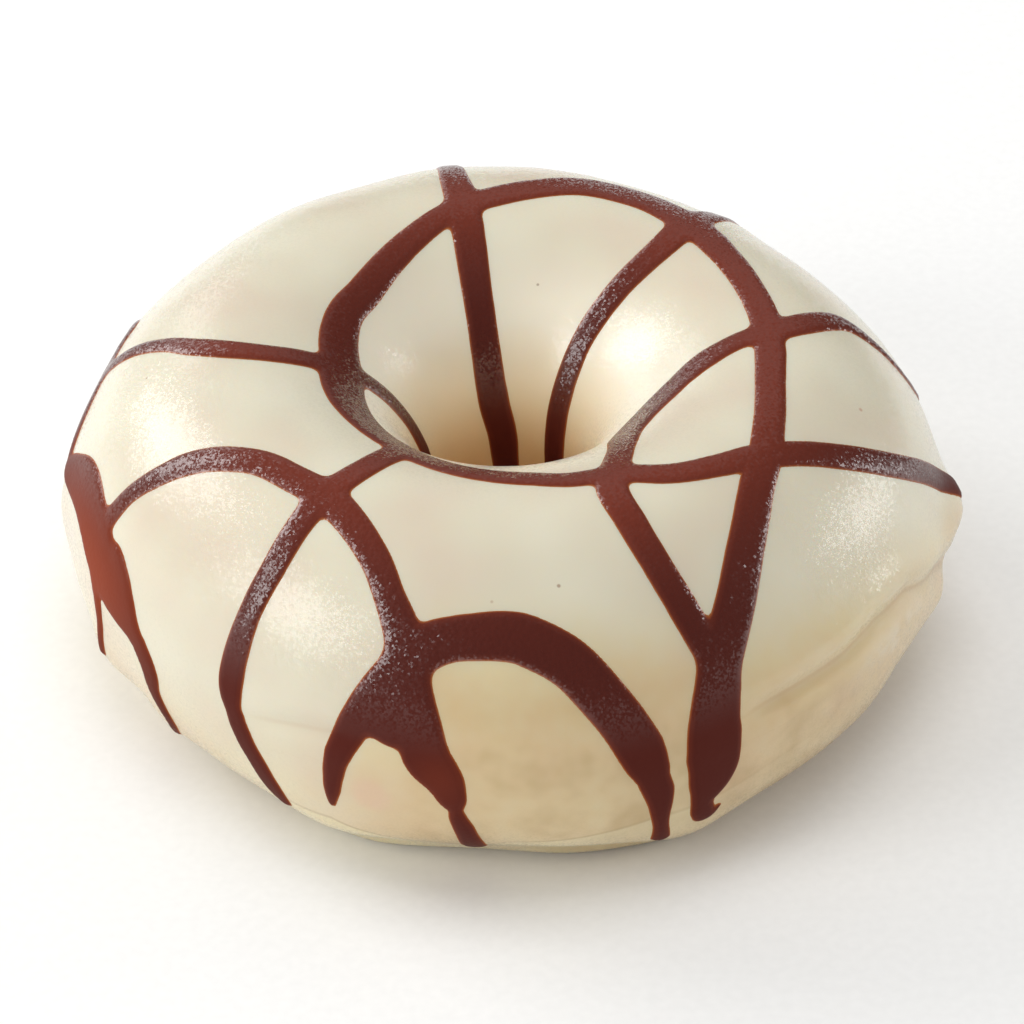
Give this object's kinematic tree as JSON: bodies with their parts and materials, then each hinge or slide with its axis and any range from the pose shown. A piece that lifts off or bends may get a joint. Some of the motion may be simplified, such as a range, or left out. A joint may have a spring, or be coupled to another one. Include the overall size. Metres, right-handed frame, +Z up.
{
  "type": "doughnut",
  "caption": "Ring doughnut under a smooth white coat, with dark drizzle laid over it in runs, loops and arches; it stands on a flat base.",
  "frame": {"origin": "middle of the outline seen from above, at the level of the flat base", "axes": "+Z up along the hole, +X to the right of the picture, -Y towards its camera"},
  "size_m": [0.0914, 0.0909, 0.0352],
  "materials": {
    "white_coat": "white coating set on fried dough, soft sheen",
    "dark_drizzle": "dark drizzle set on the coat, soft sheen with a fine grain"
  },
  "bodies": {
    "root": {"doughnut": "white_coat"}
  },
  "joints": []
}
